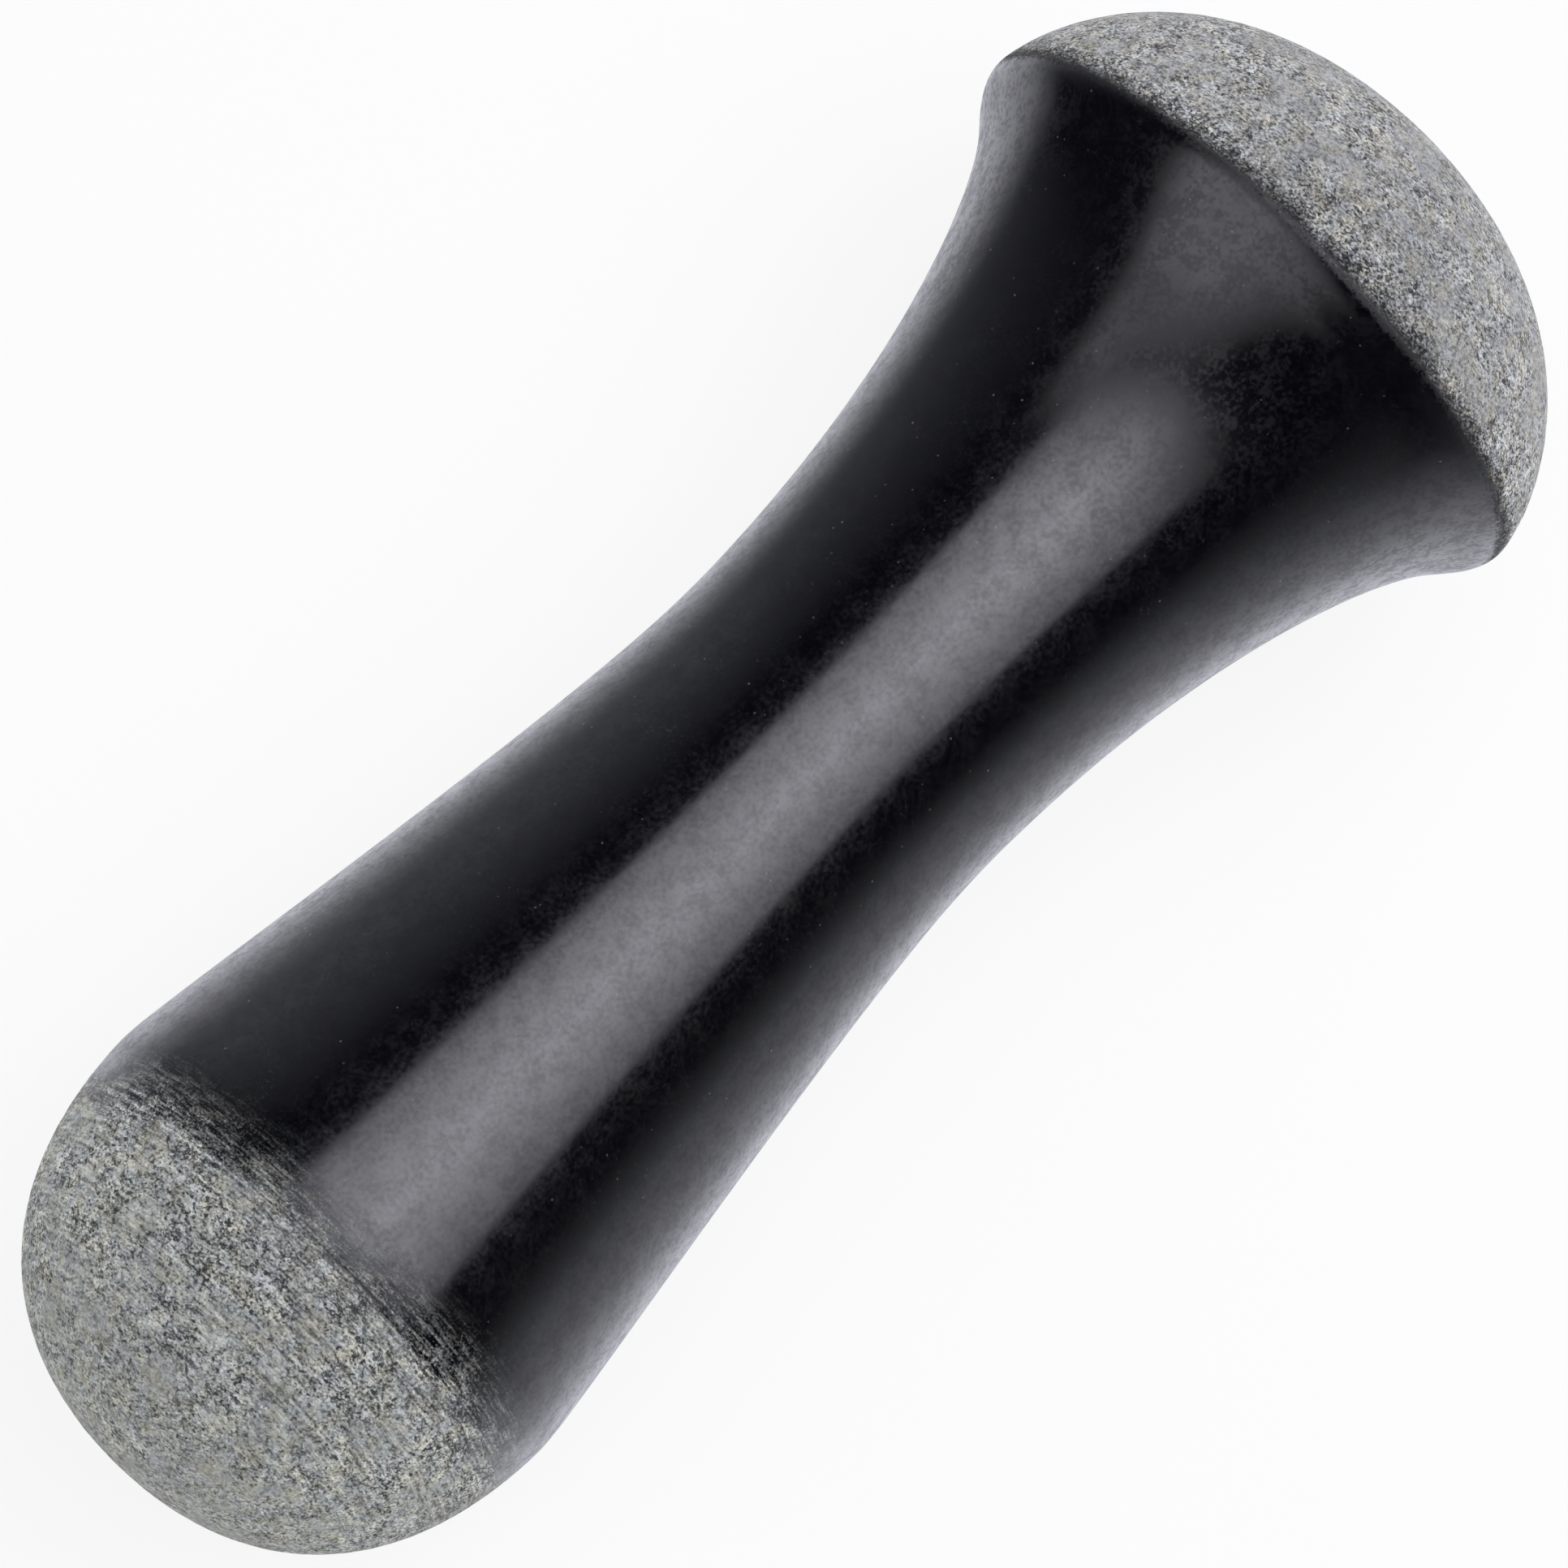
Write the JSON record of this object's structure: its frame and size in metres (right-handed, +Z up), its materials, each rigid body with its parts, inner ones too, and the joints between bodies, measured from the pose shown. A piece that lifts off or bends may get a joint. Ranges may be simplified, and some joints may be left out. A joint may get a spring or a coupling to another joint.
{
  "type": "granite pestle",
  "caption": "Stone kitchen pestle with a polished waisted grip between a rounded rough grinding bulb and a wider rough domed pounding head.",
  "frame": {"origin": "on the surface that the pestle lies on, under the middle of its box", "axes": "+X along the pestle towards its head, +Z up from the surface; the pestle's own axis rises 2.8 degrees towards the head, because it lies on its bulb and on its wider rim"},
  "size_m": [0.1598, 0.0602, 0.0601],
  "materials": {
    "polished_granite": "polished, near black",
    "rough_granite": "rough turned, grey with dark and pale grains"
  },
  "bodies": {
    "root": {"grinding_bulb": "rough_granite", "polished_grip": "polished_granite", "pounding_head": "rough_granite"}
  },
  "joints": []
}
